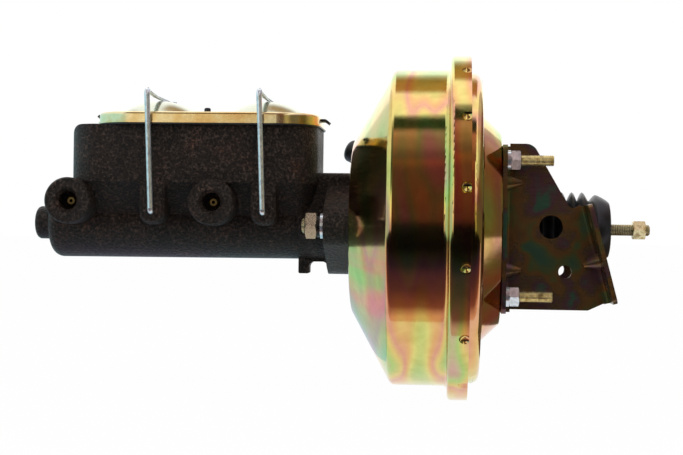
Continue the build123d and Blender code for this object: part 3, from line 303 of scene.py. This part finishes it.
def threaded_zinc():
    """Brass-coloured passivated zinc on a threaded rod, with painted shade that darkens the roots against the
    crests, one dark band to each pitch.
    """
    material, tree, place = new_finish("yellow_zinc_thread")
    cloud = put(tree, "TexNoise", {"Vector": place, "Scale": 1 / (5 * MM), "Detail": 4.0})
    tint = put(
        tree, "ValToRGB", {"Fac": cloud},
        stops=[(0.3, "#cdb67a"), (0.5, "#efe4b8"), (0.7, "#c8b288")],
    )
    # Twenty radians of the bands make one unit, so this scale gives one band in each pitch
    thread = put(tree, "TexWave", {"Vector": place, "Scale": math.pi / 10 / (THREAD_PITCH * MM)})
    # Painted shade: the bands darken the thread's roots to 0.3 of the zinc's colour and leave the crests at
    # its own colour
    root = put(tree, "ValToRGB", {"Fac": thread}, stops=[(0.15, 0.3), (0.6, 1.0)])
    colour = put(tree, "MixRGB", {"Fac": 1.0, "Color1": tint, "Color2": root}, blend_type="MULTIPLY")
    bump = put(tree, "Bump", {"Height": thread, "Distance": THREAD_DEPTH * MM, "Strength": 0.8})
    surface(tree, put(
        tree, "BsdfPrincipled",
        {"Base Color": colour, "Metallic": 0.75, "Roughness": 0.26, "Normal": bump},
    ))
    return material


# Finishes of the casting, the rubber, the moulding and the felt


def black_iron():
    """Sand-cast iron in thin black paint: coarse sand grains and pits, dull, with rust-brown patches at
    random. Painted glints brighten the grain tops and painted shade darkens the pits.
    """
    material, tree, place = new_finish("black_iron_casting")
    sand = put(
        tree, "TexNoise", {"Vector": place, "Scale": 1 / (1.3 * MM), "Detail": 4.0, "Roughness": 0.65},
    )
    pits = put(tree, "TexVoronoi", {"Vector": place, "Scale": 1 / (1.9 * MM)}, feature="SMOOTH_F1")
    height = put(tree, "Math", {0: pits.outputs["Distance"], 1: 0.45, 2: sand}, operation="MULTIPLY_ADD")
    cloud = put(tree, "TexNoise", {"Vector": place, "Scale": 1 / (16 * MM), "Detail": 4.0})
    tone = put(
        tree, "ValToRGB", {"Fac": cloud},
        stops=[(0.30, "#120d0b"), (0.5, "#18120f"), (0.66, "#1d1410"), (0.82, "#2e1c13")],
    )
    # Painted glints and painted shade: the highest grains are brightened up to six times over, and the pits
    # are darkened to 0.3
    painted_glint_and_pit_shade = put(
        tree, "ValToRGB", {"Fac": height}, stops=[(0.50, 0.3), (0.66, 1.0), (0.78, 2.6), (0.88, 6.0)],
    )
    colour = put(tree, "MixRGB", {"Fac": 1.0, "Color1": tone, "Color2": painted_glint_and_pit_shade}, blend_type="MULTIPLY")
    bump = put(tree, "Bump", {"Height": height, "Distance": 1.6 * MM, "Strength": 1.0})
    surface(tree, put(
        tree, "BsdfPrincipled",
        {"Base Color": colour, "Roughness": 0.42, "Specular IOR Level": 0.26, "Normal": bump},
    ))
    return material


def black_rubber():
    """Moulded rubber, near black, with a soft gloss, a faint grey bloom and fine moulding grain."""
    material, tree, place = new_finish("black_rubber")
    cloud = put(tree, "TexNoise", {"Vector": place, "Scale": 1 / (8 * MM), "Detail": 4.0})
    tone = put(tree, "ValToRGB", {"Fac": cloud}, stops=[(0.4, "#0e0f13"), (0.7, "#1b1c22")])
    rough = put(tree, "MapRange", {"Value": cloud, "To Min": 0.26, "To Max": 0.42})
    grain = put(tree, "TexNoise", {"Vector": place, "Scale": 1 / (1.1 * MM), "Detail": 3.0})
    bump = put(tree, "Bump", {"Height": grain, "Distance": 0.03 * MM, "Strength": 0.5})
    surface(tree, put(
        tree, "BsdfPrincipled",
        {"Base Color": tone, "Roughness": rough, "Specular IOR Level": 0.5, "Normal": bump},
    ))
    return material


def black_moulding():
    """Glass-filled black moulding, matt, with a fine grain."""
    material, tree, place = new_finish("black_moulding")
    cloud = put(tree, "TexNoise", {"Vector": place, "Scale": 1 / (3 * MM), "Detail": 3.0})
    tone = put(tree, "ValToRGB", {"Fac": cloud}, stops=[(0.4, "#17181a"), (0.7, "#202124")])
    grain = put(tree, "TexNoise", {"Vector": place, "Scale": 1 / (0.9 * MM), "Detail": 2.0})
    bump = put(tree, "Bump", {"Height": grain, "Distance": 0.03 * MM, "Strength": 0.5})
    surface(tree, put(tree, "BsdfPrincipled", {"Base Color": tone, "Roughness": 0.42, "Normal": bump}))
    return material


def filter_felt():
    """Open felt of the air filter: pale matted fibres with dark gaps."""
    material, tree, place = new_finish("filter_felt")
    fibres = put(
        tree, "TexNoise", {"Vector": place, "Scale": 1 / (0.6 * MM), "Detail": 5.0, "Roughness": 0.7},
    )
    tone = put(tree, "ValToRGB", {"Fac": fibres}, stops=[(0.3, "#6b6450"), (0.7, "#b3aa90")])
    bump = put(tree, "Bump", {"Height": fibres, "Distance": 0.3 * MM, "Strength": 1.0})
    surface(tree, put(tree, "BsdfPrincipled", {"Base Color": tone, "Roughness": 0.95, "Normal": bump}))
    return material


FINISHES = {
    "yellow_zinc": drawn_zinc(),
    "dark_zinc": rolled_zinc(),
    "gold_zinc": gold_zinc(),
    # Brass-coloured passivated zinc on turned and threaded steel
    "yellow_zinc_rod": small_steel(
        "yellow_zinc_rod", [(0.3, "#b8a068"), (0.5, "#efe4b8"), (0.7, "#a8946c")],
        stain_mm=5, rough=0.24, grain_mm=0.8, depth_mm=0.02,
    ),
    # Bright, faintly blue clear zinc on nuts, washers and wire
    "clear_zinc": small_steel(
        "clear_zinc_steel", [(0.3, "#b4bcc6"), (0.5, "#dde3ea"), (0.7, "#c3c8cc")],
        stain_mm=5, rough=0.2, grain_mm=1.2, depth_mm=0.02,
    ),
    # Duller bronze-grey zinc on the front nuts
    "bronze_zinc": small_steel(
        "bronze_zinc_steel", [(0.3, "#8b8271"), (0.5, "#b6ab95"), (0.7, "#9c917c")],
        stain_mm=5, rough=0.26, grain_mm=1.2, depth_mm=0.02,
    ),
    # Oiled black spring steel of the lock washers
    "black_steel": small_steel(
        "black_spring_steel", [(0.3, "#1f1e1e"), (0.7, "#34322f")],
        stain_mm=4, rough=0.35, grain_mm=0.8, depth_mm=0.02,
    ),
    # Bare machined steel
    "plain_steel": small_steel(
        "plain_steel", [(0.3, "#8c8d8f"), (0.7, "#a5a6a8")],
        stain_mm=8, rough=0.3, grain_mm=0.7, depth_mm=0.02,
    ),
    # Drawn spring wire, grey with a dull shine
    "spring_steel": small_steel(
        "spring_steel", [(0.3, "#77787b"), (0.7, "#95969a")],
        stain_mm=6, rough=0.28, grain_mm=0.6, depth_mm=0.02,
    ),
    # Anodised aluminium of the pistons
    "piston_alloy": small_steel(
        "anodised_alloy", [(0.3, "#b1b4ba"), (0.7, "#c0c3c9")],
        stain_mm=9, rough=0.3, grain_mm=0.7, depth_mm=0.015,
    ),
    # Machined brass of the tube seats
    "brass": small_steel(
        "machined_brass", [(0.3, "#5c4a2c"), (0.7, "#7c683e")],
        stain_mm=3, rough=0.34, grain_mm=0.7, depth_mm=0.015,
    ),
    "black_iron": black_iron(),
    "rubber": black_rubber(),
    "felt": filter_felt(),
    "black_moulding": black_moulding(),
}

for row in frame["record"]["subparts"]:
    mesh = frame["nodes"][row["node"]].data
    mesh.materials.clear()
    mesh.materials.append(FINISHES[row["material_slot"]])

thread_finish = threaded_zinc()
for node in ("input_rod", "master_cylinder_studs"):
    frame["nodes"][node].data.materials[0] = thread_finish


# Pieces made here


def finish_piece(piece, name, slot):
    """Places the piece's mesh at the origin, turns its faces outward and gives it its name and finish."""
    edit_all()
    bpy.ops.mesh.normals_make_consistent(inside=False)
    bpy.ops.object.mode_set(mode="OBJECT")
    apply_place()
    bpy.ops.object.shade_smooth_by_angle(angle=math.radians(SMOOTH_ANGLE))
    piece.name = name
    piece.data.name = name
    piece.data.materials.append(FINISHES[slot])


def ring_of_points(x, r, count):
    """Open circle of points about X, left in edit mode with all points selected."""
    nothing_selected()
    bpy.ops.mesh.primitive_circle_add(
        vertices=count, radius=r * MM, fill_type="NOTHING",
        location=(x * MM, 0, 0), rotation=(0, math.pi / 2, 0),
    )
    apply_place()
    edit_all()
    return bpy.context.object


def draw_out(start_x, start_r, stations):
    """Draws an open ring of points out along X through stations of (x, radius), in edit mode."""
    x, r = start_x, start_r
    for next_x, next_r in stations:
        bpy.ops.mesh.extrude_region_move(TRANSFORM_OT_translate={"value": ((next_x - x) * MM, 0, 0)})
        bpy.ops.transform.resize(value=(1, next_r / r, next_r / r))
        x, r = next_x, next_r


def pair_of_rings(x, r, half):
    """Two stations close together, which are rounded into one peak or valley."""
    return [(x - half, r), (x + half, r)]


def rubber_boot():
    """Bellows: a tube drawn out ring by ring over its folds, given a wall and rounded."""
    boot = ring_of_points(BOOT_MOUTH_X, BOOT_MOUTH_R, BOOT_SIDES)
    stations = [(BOOT_MOUTH_X + MOUTH_LIP, BOOT_MOUTH_R), (BOOT_NECK_X, BOOT_MOUTH_R)]
    for number in range(BOOT_PEAKS):
        peak_x = BOOT_LAST_PEAK - (BOOT_PEAKS - 1 - number) * BOOT_PITCH
        stations += pair_of_rings(peak_x - BOOT_PITCH / 2, BOOT_VALLEY_R + VALLEY_LIFT, VALLEY_HALF)
        stations += pair_of_rings(peak_x, BOOT_PEAK_R - PEAK_DROP, PEAK_HALF)
    last_valley = BOOT_LAST_PEAK + BOOT_PITCH * BOOT_LAST_VALLEY
    stations += pair_of_rings(last_valley, BOOT_VALLEY_R + VALLEY_LIFT, VALLEY_HALF)
    (cap_x, cap_r), (end_x, end_r) = BOOT_CAP
    stations += [(cap_x + along, cap_r + out) for along, out in CAP_RIM_STEPS]
    stations += [(end_x + along, end_r + out) for along, out in CAP_END_STEPS]
    stations += [(end_x, BOOT_HOLE_R + out) for out in CAP_HOLE_STEPS]
    draw_out(BOOT_MOUTH_X, BOOT_MOUTH_R, stations)
    bpy.ops.object.mode_set(mode="OBJECT")
    wall = boot.modifiers.new("wall", "SOLIDIFY")
    wall.thickness = BOOT_T * MM
    wall.offset = 0
    rounded = boot.modifiers.new("rounded", "SUBSURF")
    rounded.levels = 1
    rounded.render_levels = 1
    bpy.ops.object.modifier_apply(modifier="wall")
    bpy.ops.object.modifier_apply(modifier="rounded")
    finish_piece(boot, "rubber_boot", "rubber")
    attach(boot, "root")
    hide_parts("boot")
    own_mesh(boot)


def wind(piece, turns, rise, steps):
    """Screws the piece's outline round X, with a rise for each turn."""
    wound = piece.modifiers.new("wound", "SCREW")
    wound.axis = "X"
    wound.iterations = turns
    wound.screw_offset = rise * MM
    wound.steps = steps
    wound.render_steps = steps
    bpy.ops.object.modifier_apply(modifier="wound")


def coil_spring(node, size):
    """Coil spring: a wire section screwed round X, its ends closed."""
    front_x, rear_x, mean_r, wire_r = size
    nothing_selected()
    bpy.ops.mesh.primitive_circle_add(
        vertices=WIRE_SIDES, radius=wire_r * MM, fill_type="NOTHING",
        location=((front_x + wire_r) * MM, 0, mean_r * MM), rotation=(math.pi / 2, 0, 0),
    )
    apply_place()
    spring = bpy.context.object
    wind(spring, COIL_TURNS, (rear_x - front_x - 2 * wire_r) / COIL_TURNS, COIL_STEPS)
    edit_all()
    bpy.ops.mesh.fill_holes(sides=0)
    finish_piece(spring, node + "_coil", "spring_steel")
    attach(spring, "root")
    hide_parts(node)
    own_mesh(spring)


def threaded_shank(y, z):
    """Shank of a rear stud: one tooth of its thread screwed round X and cut square at both ends."""
    nothing_selected()
    # A plane merged to one point is the thread's root, and the tooth is drawn out from it
    start_x = STUD_SHEET_X - LEAD_TURNS * THREAD_PITCH
    bpy.ops.mesh.primitive_plane_add(size=MM, location=(start_x * MM, 0, (STUD_R - THREAD_DEPTH) * MM))
    apply_place()
    edit_all()
    bpy.ops.mesh.merge(type="CENTER")
    for rise in (THREAD_DEPTH, -THREAD_DEPTH):
        flank = (THREAD_PITCH / 2 * MM, 0, rise * MM)
        bpy.ops.mesh.extrude_region_move(TRANSFORM_OT_translate={"value": flank})
    bpy.ops.object.mode_set(mode="OBJECT")
    shank = bpy.context.object
    turns = math.ceil((STUD_TIP_X - STUD_SHEET_X) / THREAD_PITCH) + SPARE_TURNS
    wind(shank, turns, THREAD_PITCH, THREAD_STEPS)
    edit_all()
    bpy.ops.mesh.remove_doubles(threshold=WELD * MM)
    for cut_x, outward in ((STUD_SHEET_X, -1), (STUD_TIP_X, 1)):
        bpy.ops.mesh.select_all(action="SELECT")
        bpy.ops.mesh.bisect(
            plane_co=(cut_x * MM, 0, 0), plane_no=(outward, 0, 0), use_fill=True, clear_outer=True,
        )
    bpy.ops.object.mode_set(mode="OBJECT")
    shank.location = (0, y * MM, z * MM)
    apply_place()
    return shank


def stud_head(y, z):
    """Flat round head of a rear stud, behind the sheet, with its edges bevelled."""
    nothing_selected()
    bpy.ops.mesh.primitive_cylinder_add(
        vertices=HEAD_SIDES, radius=STUD_HEAD_R * MM, depth=STUD_HEAD_T * MM,
        location=((STUD_SHEET_X - STUD_HEAD_T / 2) * MM, y * MM, z * MM), rotation=(0, math.pi / 2, 0),
    )
    head = bpy.context.object
    edge = head.modifiers.new("edge", "BEVEL")
    edge.width = STUD_HEAD_EDGE * MM
    edge.segments = 2
    bpy.ops.object.modifier_apply(modifier="edge")
    apply_place()
    return head


def rear_studs():
    """The four rear studs, joined into one piece."""
    studs = []
    for y in (-STUD_Y, STUD_Y):
        for z in (-STUD_Z, STUD_Z):
            studs += [threaded_shank(y, z), stud_head(y, z)]
    nothing_selected()
    for stud in studs:
        stud.select_set(True)
    bpy.context.view_layer.objects.active = studs[0]
    bpy.ops.object.join()
    finish_piece(studs[0], "rear_studs_threaded", "yellow_zinc_rod")
    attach(studs[0], "root")
    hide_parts("rear_studs")


rubber_boot()
rear_studs()
coil_spring("return_spring", RETURN_SPRING)
coil_spring("primary_spring", PRIMARY_SPRING)
coil_spring("secondary_spring", SECONDARY_SPRING)


# Studio, light and camera


def studio_only(name, material, colour, strength=1.0):
    """Makes the newest surface a glowing part of the studio in this colour, which only shiny parts show."""
    tree = material.node_tree
    surface(tree, put(tree, "Emission", {"Color": colour, "Strength": strength}))
    piece = bpy.context.object
    piece.name = name
    piece.data.materials.append(material)
    piece.visible_camera = False
    piece.visible_diffuse = False
    piece.visible_shadow = False


def white_room():
    """White behind the object and in its reflections, and soft light for everything else."""
    world = bpy.data.worlds.new("white_room")
    bpy.context.scene.world = world
    world.use_nodes = True
    tree = world.node_tree
    tree.nodes.clear()
    rays = put(tree, "LightPath").outputs
    seen = put(tree, "Math", {0: rays["Is Camera Ray"], 1: rays["Is Glossy Ray"]}, operation="MAXIMUM")
    seen = put(tree, "Math", {0: seen, 1: rays["Is Transmission Ray"]}, operation="MAXIMUM")
    strength = put(tree, "MapRange", {"Value": seen, "To Min": 0.6, "To Max": 1.0})
    shade = put(tree, "Background", {"Color": (1, 1, 1, 1), "Strength": strength})
    put(tree, "OutputWorld", {"Surface": shade})


def pale_floor():
    """Plain floor that the ring rests on: white to the camera, with the object's shadow kept faint."""
    nothing_selected()
    bpy.ops.mesh.primitive_plane_add(size=FLOOR_SIZE, location=(0, 0, FLOOR_Z * MM))
    floor = bpy.context.object
    floor.name = "floor"
    material, tree, _ = new_finish("pale_floor")
    matt = put(tree, "BsdfDiffuse", {"Color": linear("#b4b4b4")})
    glow = put(tree, "Emission", {"Color": (1, 1, 1, 1), "Strength": 1.0})
    rays = put(tree, "LightPath").outputs
    seen = put(tree, "Math", {0: rays["Is Camera Ray"], 1: rays["Is Glossy Ray"]}, operation="MAXIMUM")
    share = put(tree, "Math", {0: seen, 1: FLOOR_WHITE}, operation="MULTIPLY")
    surface(tree, put(tree, "MixShader", {0: share, 1: matt, 2: glow}))
    floor.data.materials.append(material)


def unlit_side():
    """The unlit camera side of the studio: a dark wall that bends over to a white soft box overhead."""
    nothing_selected()
    bpy.ops.mesh.primitive_cylinder_add(
        vertices=STUDIO_SIDES, radius=STUDIO_R, depth=STUDIO_LENGTH, end_fill_type="NOTHING",
        rotation=(0, math.pi / 2, 0),
    )
    apply_place()
    material, tree, place = new_finish("unlit_side")
    # The level runs from 0 on the camera's side, at the height of the axis, over the top to 1 on the far side
    parts = put(tree, "SeparateXYZ", {"Vector": place}).outputs
    toward = put(tree, "Math", {0: parts["Y"], 1: -1.0}, operation="MULTIPLY")
    angle = put(tree, "Math", {0: parts["Z"], 1: toward}, operation="ARCTAN2")
    folds = put(tree, "TexNoise", {"Vector": place, "Scale": 3.0, "Detail": 3.0})
    shifted = put(tree, "Math", {0: folds, 1: 0.16, 2: angle}, operation="MULTIPLY_ADD")
    level = put(tree, "MapRange", {"Value": shifted, "From Min": 0.08, "From Max": math.pi + 0.08})
    shade = put(
        tree, "ValToRGB", {"Fac": level},
        stops=[
            (0.00, "#141014"), (0.03, "#54302c"), (0.10, "#663630"), (0.22, "#74403a"), (0.25, "#96543e"),
            (0.275, "#7c5048"), (0.36, "#b48474"), (0.385, "#cc9890"), (0.40, "#34402e"), (0.455, "#2e3c28"),
            (0.475, "#ffffff"), (0.60, "#ffffff"), (0.625, "#c49a62"), (0.72, "#b08a54"), (0.80, "#ffffff"),
        ],
    )
    window = put(
        tree, "ValToRGB", {"Fac": level},
        stops=[
            (0.00, "#d8d0c0"), (0.04, "#fff4dc"), (0.12, "#f6ecd8"), (0.17, "#8a7a66"), (0.25, "#5c5044"),
            (0.40, "#84827c"), (0.475, "#ffffff"),
        ],
    )
    panel = put(
        tree, "ValToRGB", {"Fac": level},
        stops=[(0.00, "#a8a878"), (0.06, "#c8b878"), (0.14, "#f6f2ea"), (0.475, "#ffffff")],
    )
    left = put(tree, "MapRange", {"Value": parts["X"], "From Min": WINDOW_X[0], "From Max": WINDOW_X[1]})
    right = put(tree, "MapRange", {"Value": parts["X"], "From Min": PANEL_X[0], "From Max": PANEL_X[1]})
    both = put(tree, "MixRGB", {"Fac": left, "Color1": shade, "Color2": window})
    both = put(tree, "MixRGB", {"Fac": right, "Color1": both, "Color2": panel})
    power = put(
        tree, "MapRange", {"Value": both, "From Min": 0.7, "From Max": 1.0, "To Min": 1.0, "To Max": 1.4},
    )
    studio_only("unlit_side", material, both, power)


def end_wall(name, x, stops):
    """Wall across one end of the studio, toned from below upward, which the shells' sloped faces show."""
    nothing_selected()
    bpy.ops.mesh.primitive_circle_add(
        vertices=END_WALL_SIDES, radius=END_WALL_R, fill_type="NGON",
        location=(x, 0, 0), rotation=(0, math.pi / 2, 0),
    )
    apply_place()
    material, tree, place = new_finish(name)
    parts = put(tree, "SeparateXYZ", {"Vector": place}).outputs
    folds = put(tree, "TexNoise", {"Vector": place, "Scale": 2.0, "Detail": 2.0})
    shifted = put(tree, "Math", {0: folds, 1: 0.5, 2: parts["Z"]}, operation="MULTIPLY_ADD")
    level = put(tree, "MapRange", {"Value": shifted, "From Min": 0.1, "From Max": 1.6})
    studio_only(name, material, put(tree, "ValToRGB", {"Fac": level}, stops=stops))


def floor_card(name, first_x, last_x, stops):
    """Toned card on the floor behind the object, which the lower halves of the shells' sloped faces show."""
    nothing_selected()
    middle, height = (first_x + last_x) / 2, (FLOOR_Z + FLOOR_CARD_LIFT) * MM
    bpy.ops.mesh.primitive_plane_add(size=1, location=(middle, FLOOR_CARD_Y, height))
    bpy.ops.transform.resize(value=(last_x - first_x, FLOOR_CARD_DEPTH, 1))
    apply_place()
    material, tree, place = new_finish(name)
    folds = put(tree, "TexNoise", {"Vector": place, "Scale": 7.0, "Detail": 2.0})
    studio_only(name, material, put(tree, "ValToRGB", {"Fac": folds}, stops=stops))


def dark_card():
    """Black card lying on the floor before the object, which the lower half of the shells shows."""
    nothing_selected()
    height = (FLOOR_Z + DARK_CARD_LIFT) * MM
    bpy.ops.mesh.primitive_plane_add(size=DARK_CARD_SIZE, location=(0, DARK_CARD_Y, height))
    apply_place()
    material, tree, place = new_finish("dark_card")
    parts = put(tree, "SeparateXYZ", {"Vector": place}).outputs
    folds = put(tree, "TexNoise", {"Vector": place, "Scale": 9.0, "Detail": 3.0})
    shifted = put(tree, "Math", {0: folds, 1: 0.05, 2: parts["Y"]}, operation="MULTIPLY_ADD")
    level = put(tree, "MapRange", {"Value": shifted, "From Min": -0.10, "From Max": -0.60})
    shade = put(
        tree, "ValToRGB", {"Fac": level},
        stops=[
            (0.0, "#e8c8b0"), (0.05, "#8a5f50"), (0.15, "#5c4246"), (0.26, "#4a3848"), (0.36, "#302a3a"),
            (0.56, "#1e1d21"), (0.8, "#0e0c0e"),
        ],
    )
    studio_only("dark_card", material, shade)


def soft_lamp(name, place, aim, size, power):
    """Soft rectangular lamp that shiny surfaces don't show."""
    lamp = bpy.data.lights.new(name, "AREA")
    lamp.shape = "RECTANGLE"
    lamp.size, lamp.size_y = size
    lamp.energy = power
    holder = bpy.data.objects.new(name, lamp)
    bpy.context.scene.collection.objects.link(holder)
    holder.location = place
    holder.rotation_mode = "QUATERNION"
    holder.rotation_quaternion = (Vector(aim) - Vector(place)).to_track_quat("-Z", "Y")
    holder.visible_glossy = False


def photo_camera():
    """Level camera where the photograph was taken from, turned about Z and rolled about its own view."""
    turn, roll = math.radians(CAMERA_TURN), math.radians(CAMERA_ROLL)
    ahead = Vector((-math.sin(turn), math.cos(turn), 0))
    level = Vector((math.cos(turn), math.sin(turn), 0))
    upright = Vector((0, 0, 1))
    right = level * math.cos(roll) + upright * math.sin(roll)
    up = upright * math.cos(roll) - level * math.sin(roll)
    data = bpy.data.cameras.new("photo_camera")
    data.lens = CAMERA_LENS
    data.sensor_width = CAMERA_SENSOR
    data.clip_start, data.clip_end = CAMERA_CLIP
    camera = bpy.data.objects.new("photo_camera", data)
    bpy.context.scene.collection.objects.link(camera)
    turned = Matrix((right, up, -ahead)).transposed().to_4x4()
    camera.matrix_world = Matrix.Translation(Vector(CAMERA_PLACE) * MM) @ turned
    bpy.context.scene.camera = camera


white_room()
pale_floor()
unlit_side()
dark_card()
end_wall("front_wall", -1.5, [(0.0, "#b6ecec"), (0.2, "#c4eef2"), (0.4, "#dcf8ff"), (0.8, "#ffffff")])
end_wall("rear_wall", 1.2, [(0.0, "#6c6a4c"), (0.3, "#686450"), (0.6, "#7c5a4c"), (0.95, "#d8ccd0")])
floor_card("front_card", -1.5, -0.19, [(0.35, "#b6f0ea"), (0.5, "#cce6f2"), (0.65, "#e6ccf6")])
floor_card("rear_card", -0.02, 1.19, [(0.35, "#5c6644"), (0.5, "#685848"), (0.65, "#744c3e")])
soft_lamp("key", place=(-0.6, -0.9, 1.5), aim=(-0.15, 0, 0), size=(1.2, 1.2), power=22)
soft_lamp("fill", place=(1.1, -1.2, 0.9), aim=(-0.1, 0, 0), size=(1.0, 1.0), power=8)
photo_camera()
bpy.context.scene.view_settings.view_transform = "Standard"
